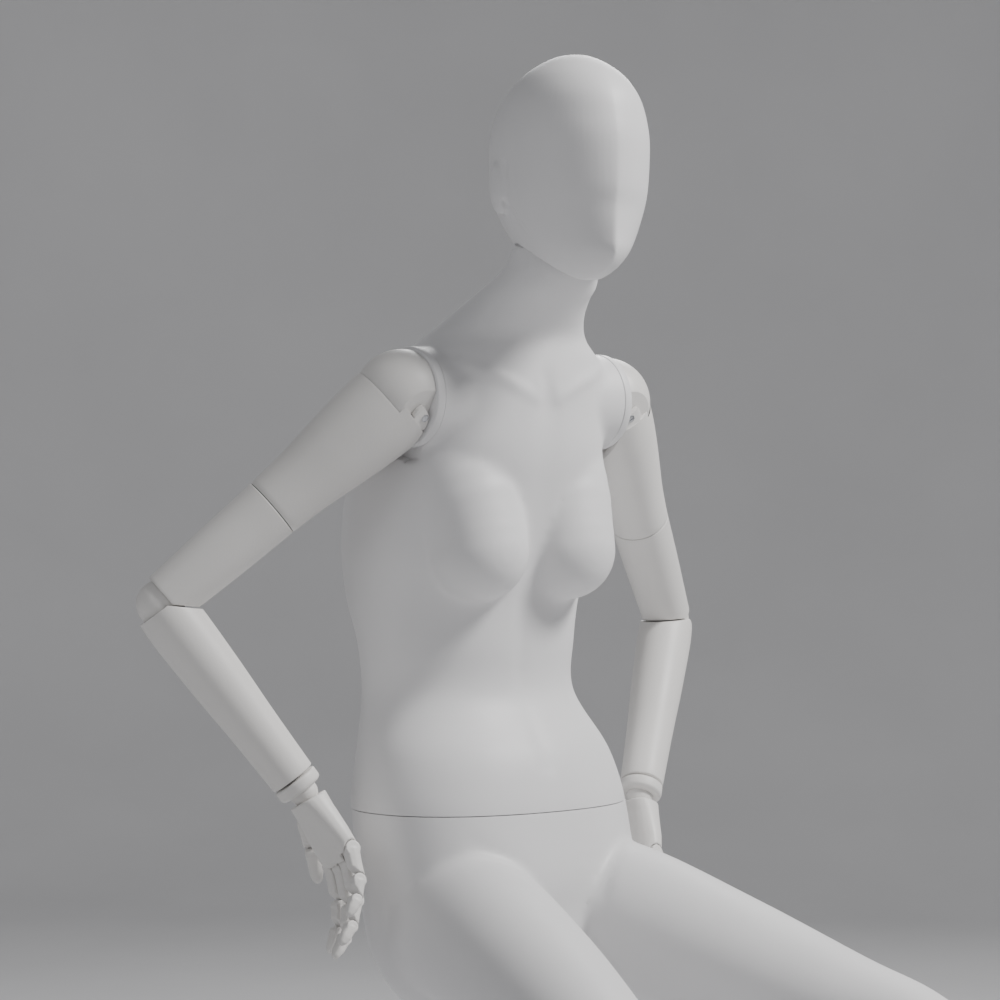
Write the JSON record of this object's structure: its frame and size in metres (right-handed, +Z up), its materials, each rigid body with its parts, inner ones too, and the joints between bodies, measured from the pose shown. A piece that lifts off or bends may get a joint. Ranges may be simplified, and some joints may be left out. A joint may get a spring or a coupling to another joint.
{
  "type": "full body mannequin",
  "caption": "Seated display mannequin with a faceless egg-shaped head, hollow white body shells and jointed wooden arms and hands.",
  "frame": {"origin": "centre of the flat seat contact face under the hips", "axes": "+Z up along the sitting figure, -Y the way the figure faces, +X towards its left hand"},
  "size_m": [0.696, 0.77, 1.4284],
  "materials": {
    "shell_white": "satin white paint on moulded fibreglass shell",
    "wood_white": "satin white paint on turned wood",
    "raw_wood": "bare brown wood inside the joints",
    "steel": "brushed steel pins and studs"
  },
  "bodies": {
    "lower_body": {"lower_body_shell": "shell_white", "waist_plate_lower": "raw_wood", "waist_stud": "steel"},
    "torso": {"torso_shell": "shell_white", "waist_plate_upper": "raw_wood", "neck_peg": "steel", "right_shoulder_plate": "shell_white", "left_shoulder_plate": "shell_white"},
    "head": {"head_shell": "shell_white", "head_socket": "raw_wood"},
    "right_shoulder": {"right_shoulder_dome": "wood_white"},
    "right_upper_arm": {"right_upper_arm_top": "wood_white", "right_shoulder_pin": "steel", "right_upper_arm_dowel": "raw_wood"},
    "right_lower_upper_arm": {"right_upper_arm_bottom": "wood_white", "right_elbow_tongue": "raw_wood"},
    "right_forearm_body": {"right_forearm": "wood_white", "right_elbow_ball": "raw_wood", "right_elbow_pin": "steel"},
    "right_wrist": {"right_wrist_ball": "wood_white"},
    "right_hand": {"right_palm": "wood_white"},
    "right_index_bone_1": {"right_index_1": "wood_white"},
    "right_index_bone_2": {"right_index_2": "wood_white"},
    "right_index_bone_3": {"right_index_3": "wood_white"},
    "right_middle_bone_1": {"right_middle_1": "wood_white"},
    "right_middle_bone_2": {"right_middle_2": "wood_white"},
    "right_middle_bone_3": {"right_middle_3": "wood_white"},
    "right_ring_bone_1": {"right_ring_1": "wood_white"},
    "right_ring_bone_2": {"right_ring_2": "wood_white"},
    "right_ring_bone_3": {"right_ring_3": "wood_white"},
    "right_little_bone_1": {"right_little_1": "wood_white"},
    "right_little_bone_2": {"right_little_2": "wood_white"},
    "right_little_bone_3": {"right_little_3": "wood_white"},
    "right_thumb_bone_1": {"right_thumb_1": "wood_white"},
    "right_thumb_bone_2": {"right_thumb_2": "wood_white"},
    "left_shoulder": {"left_shoulder_dome": "wood_white"},
    "left_upper_arm": {"left_upper_arm_top": "wood_white", "left_shoulder_pin": "steel", "left_upper_arm_dowel": "raw_wood"},
    "left_lower_upper_arm": {"left_upper_arm_bottom": "wood_white", "left_elbow_tongue": "raw_wood"},
    "left_forearm_body": {"left_forearm": "wood_white", "left_elbow_ball": "raw_wood", "left_elbow_pin": "steel"},
    "left_wrist": {"left_wrist_ball": "wood_white"},
    "left_hand": {"left_palm": "wood_white"},
    "left_index_bone_1": {"left_index_1": "wood_white"},
    "left_index_bone_2": {"left_index_2": "wood_white"},
    "left_index_bone_3": {"left_index_3": "wood_white"},
    "left_middle_bone_1": {"left_middle_1": "wood_white"},
    "left_middle_bone_2": {"left_middle_2": "wood_white"},
    "left_middle_bone_3": {"left_middle_3": "wood_white"},
    "left_ring_bone_1": {"left_ring_1": "wood_white"},
    "left_ring_bone_2": {"left_ring_2": "wood_white"},
    "left_ring_bone_3": {"left_ring_3": "wood_white"},
    "left_little_bone_1": {"left_little_1": "wood_white"},
    "left_little_bone_2": {"left_little_2": "wood_white"},
    "left_little_bone_3": {"left_little_3": "wood_white"},
    "left_thumb_bone_1": {"left_thumb_1": "wood_white"},
    "left_thumb_bone_2": {"left_thumb_2": "wood_white"}
  },
  "joints": [
    {"name": "waist_turn", "type": "hinge", "parent": "lower_body", "child": "torso", "pos_m": [0, 0.016, 0.196], "axis": [0, 0, 1], "range_deg": [-5, 5]},
    {"name": "head_turn", "type": "hinge", "parent": "torso", "child": "head", "pos_m": [0, -0.086, 0.744], "axis": [0, 0, 1], "range_deg": [-25, 30]},
    {"name": "right_shoulder_swing", "type": "hinge", "parent": "torso", "child": "right_shoulder", "pos_m": [-0.133, -0.01, 0.6], "axis": [1, 0, 0], "range_deg": [-4, 15]},
    {"name": "right_shoulder_raise", "type": "hinge", "parent": "right_shoulder", "child": "right_upper_arm", "pos_m": [-0.133, -0.01, 0.6], "axis": [0, -0.8602, -0.51], "range_deg": [-45, 0]},
    {"name": "right_upper_arm_turn", "type": "hinge", "parent": "right_upper_arm", "child": "right_lower_upper_arm", "pos_m": [-0.133, -0.01, 0.6], "axis": [-0.6521, 0.3867, -0.6521], "range_deg": [-5, 5]},
    {"name": "right_elbow_bend", "type": "hinge", "parent": "right_lower_upper_arm", "child": "right_forearm_body", "pos_m": [-0.332, 0.108, 0.401], "axis": [0.5289, 0.8483, -0.026], "range_deg": [0, 60]},
    {"name": "right_wrist_turn", "type": "hinge", "parent": "right_forearm_body", "child": "right_wrist", "pos_m": [-0.219, 0.032, 0.22], "axis": [0.4989, -0.3355, -0.7991], "range_deg": [-15, 15]},
    {"name": "right_wrist_bend", "type": "hinge", "parent": "right_wrist", "child": "right_hand", "pos_m": [-0.219, 0.032, 0.22], "axis": [0.1349, 0.9399, -0.3136], "range_deg": [-4, 12]},
    {"name": "right_index_bend_1", "type": "hinge", "parent": "right_hand", "child": "right_index_bone_1", "pos_m": [-0.18753, 0.02862, 0.14686], "axis": [0.0547, 0.9904, -0.1272], "range_deg": [-14, 8]},
    {"name": "right_index_bend_2", "type": "hinge", "parent": "right_index_bone_1", "child": "right_index_bone_2", "pos_m": [-0.18261, 0.02329, 0.10752], "axis": [0.0547, 0.9904, -0.1272], "range_deg": [-16, 22]},
    {"name": "right_index_bend_3", "type": "hinge", "parent": "right_index_bone_2", "child": "right_index_bone_3", "pos_m": [-0.18819, 0.02049, 0.08331], "axis": [0.0547, 0.9904, -0.1272], "range_deg": [-14, 18]},
    {"name": "right_middle_bend_1", "type": "hinge", "parent": "right_hand", "child": "right_middle_bone_1", "pos_m": [-0.1882, 0.01221, 0.14842], "axis": [0.0953, 0.9705, -0.2216], "range_deg": [-14, 8]},
    {"name": "right_middle_bend_2", "type": "hinge", "parent": "right_middle_bone_1", "child": "right_middle_bone_2", "pos_m": [-0.18621, 0.00246, 0.10658], "axis": [0.0953, 0.9705, -0.2216], "range_deg": [-16, 22]},
    {"name": "right_middle_bend_3", "type": "hinge", "parent": "right_middle_bone_2", "child": "right_middle_bone_3", "pos_m": [-0.19636, -0.00239, 0.08094], "axis": [0.0953, 0.9705, -0.2216], "range_deg": [-14, 18]},
    {"name": "right_ring_bend_1", "type": "hinge", "parent": "right_hand", "child": "right_ring_bone_1", "pos_m": [-0.1915, -0.00199, 0.15609], "axis": [0.1284, 0.9458, -0.2984], "range_deg": [-14, 8]},
    {"name": "right_ring_bend_2", "type": "hinge", "parent": "right_ring_bone_1", "child": "right_ring_bone_2", "pos_m": [-0.1914, -0.01404, 0.11795], "axis": [0.1284, 0.9458, -0.2984], "range_deg": [-16, 22]},
    {"name": "right_ring_bend_3", "type": "hinge", "parent": "right_ring_bone_2", "child": "right_ring_bone_3", "pos_m": [-0.20183, -0.01991, 0.09486], "axis": [0.1284, 0.9458, -0.2984], "range_deg": [-14, 18]},
    {"name": "right_little_bend_1", "type": "hinge", "parent": "right_hand", "child": "right_little_bone_1", "pos_m": [-0.19655, -0.01374, 0.16782], "axis": [0.1605, 0.9138, -0.373], "range_deg": [-14, 8]},
    {"name": "right_little_bend_2", "type": "hinge", "parent": "right_little_bone_1", "child": "right_little_bone_2", "pos_m": [-0.19684, -0.02541, 0.13911], "axis": [0.1605, 0.9138, -0.373], "range_deg": [-16, 22]},
    {"name": "right_little_bend_3", "type": "hinge", "parent": "right_little_bone_2", "child": "right_little_bone_3", "pos_m": [-0.20441, -0.03125, 0.12154], "axis": [0.1605, 0.9138, -0.373], "range_deg": [-14, 18]},
    {"name": "right_thumb_bend_1", "type": "hinge", "parent": "right_hand", "child": "right_thumb_bone_1", "pos_m": [-0.20496, 0.04782, 0.18736], "axis": [-0.6983, 0.6963, -0.1662], "range_deg": [-12, 0]},
    {"name": "right_thumb_bend_2", "type": "hinge", "parent": "right_thumb_bone_1", "child": "right_thumb_bone_2", "pos_m": [-0.19245, 0.05292, 0.15616], "axis": [-0.6983, 0.6963, -0.1662], "range_deg": [-10, 6]},
    {"name": "left_shoulder_swing", "type": "hinge", "parent": "torso", "child": "left_shoulder", "pos_m": [0.133, -0.01, 0.6], "axis": [1, 0, 0], "range_deg": [-4, 15]},
    {"name": "left_shoulder_raise", "type": "hinge", "parent": "left_shoulder", "child": "left_upper_arm", "pos_m": [0.133, -0.01, 0.6], "axis": [0, 0.9141, 0.4054], "range_deg": [-45, 0]},
    {"name": "left_upper_arm_turn", "type": "hinge", "parent": "left_upper_arm", "child": "left_lower_upper_arm", "pos_m": [0.133, -0.01, 0.6], "axis": [-0.5903, -0.3272, 0.7379], "range_deg": [-5, 5]},
    {"name": "left_elbow_bend", "type": "hinge", "parent": "left_lower_upper_arm", "child": "left_forearm_body", "pos_m": [0.317, 0.092, 0.37], "axis": [0.5221, -0.8519, 0.0399], "range_deg": [0, 60]},
    {"name": "left_wrist_turn", "type": "hinge", "parent": "left_forearm_body", "child": "left_wrist", "pos_m": [0.202, 0.013, 0.188], "axis": [0.5015, 0.3445, 0.7936], "range_deg": [-15, 15]},
    {"name": "left_wrist_bend", "type": "hinge", "parent": "left_wrist", "child": "left_hand", "pos_m": [0.202, 0.013, 0.188], "axis": [0.1323, -0.9395, 0.316], "range_deg": [0, 12]},
    {"name": "left_index_bend_1", "type": "hinge", "parent": "left_hand", "child": "left_index_bone_1", "pos_m": [0.17125, 0.00951, 0.11455], "axis": [0.054, -0.9902, 0.129], "range_deg": [-14, 8]},
    {"name": "left_index_bend_2", "type": "hinge", "parent": "left_index_bone_1", "child": "left_index_bone_2", "pos_m": [0.16672, 0.00413, 0.07518], "axis": [0.054, -0.9902, 0.129], "range_deg": [-16, 22]},
    {"name": "left_index_bend_3", "type": "hinge", "parent": "left_index_bone_2", "child": "left_index_bone_3", "pos_m": [0.17255, 0.00131, 0.05103], "axis": [0.054, -0.9902, 0.129], "range_deg": [-14, 18]},
    {"name": "left_middle_bend_1", "type": "hinge", "parent": "left_hand", "child": "left_middle_bone_1", "pos_m": [0.17192, -0.00689, 0.11614], "axis": [0.0937, -0.9701, 0.2237], "range_deg": [-14, 8]},
    {"name": "left_middle_bend_2", "type": "hinge", "parent": "left_middle_bone_1", "child": "left_middle_bone_2", "pos_m": [0.17035, -0.01669, 0.0743], "axis": [0.0937, -0.9701, 0.2237], "range_deg": [-16, 22]},
    {"name": "left_middle_bend_3", "type": "hinge", "parent": "left_middle_bone_2", "child": "left_middle_bone_3", "pos_m": [0.18075, -0.02158, 0.04877], "axis": [0.0937, -0.9701, 0.2237], "range_deg": [-14, 18]},
    {"name": "left_ring_bend_1", "type": "hinge", "parent": "left_hand", "child": "left_ring_bone_1", "pos_m": [0.17515, -0.02108, 0.12386], "axis": [0.1259, -0.9453, 0.3009], "range_deg": [-14, 8]},
    {"name": "left_ring_bend_2", "type": "hinge", "parent": "left_ring_bone_1", "child": "left_ring_bone_2", "pos_m": [0.17544, -0.03318, 0.08574], "axis": [0.1259, -0.9453, 0.3009], "range_deg": [-16, 22]},
    {"name": "left_ring_bend_3", "type": "hinge", "parent": "left_ring_bone_2", "child": "left_ring_bone_3", "pos_m": [0.1861, -0.03907, 0.06277], "axis": [0.1259, -0.9453, 0.3009], "range_deg": [-14, 18]},
    {"name": "left_little_bend_1", "type": "hinge", "parent": "left_hand", "child": "left_little_bone_1", "pos_m": [0.18009, -0.03281, 0.13566], "axis": [0.1573, -0.9133, 0.3757], "range_deg": [-14, 8]},
    {"name": "left_little_bend_2", "type": "hinge", "parent": "left_little_bone_1", "child": "left_little_bone_2", "pos_m": [0.18067, -0.04452, 0.10696], "axis": [0.1573, -0.9133, 0.3757], "range_deg": [-16, 22]},
    {"name": "left_little_bend_3", "type": "hinge", "parent": "left_little_bone_2", "child": "left_little_bone_3", "pos_m": [0.18841, -0.05038, 0.08948], "axis": [0.1573, -0.9133, 0.3757], "range_deg": [-14, 18]},
    {"name": "left_thumb_bend_1", "type": "hinge", "parent": "left_hand", "child": "left_thumb_bone_1", "pos_m": [0.18827, 0.02877, 0.1552], "axis": [-0.6995, -0.6964, 0.1602], "range_deg": [-12, 0]},
    {"name": "left_thumb_bend_2", "type": "hinge", "parent": "left_thumb_bone_1", "child": "left_thumb_bone_2", "pos_m": [0.17607, 0.03383, 0.12387], "axis": [-0.6995, -0.6964, 0.1602], "range_deg": [-10, 6]}
  ]
}
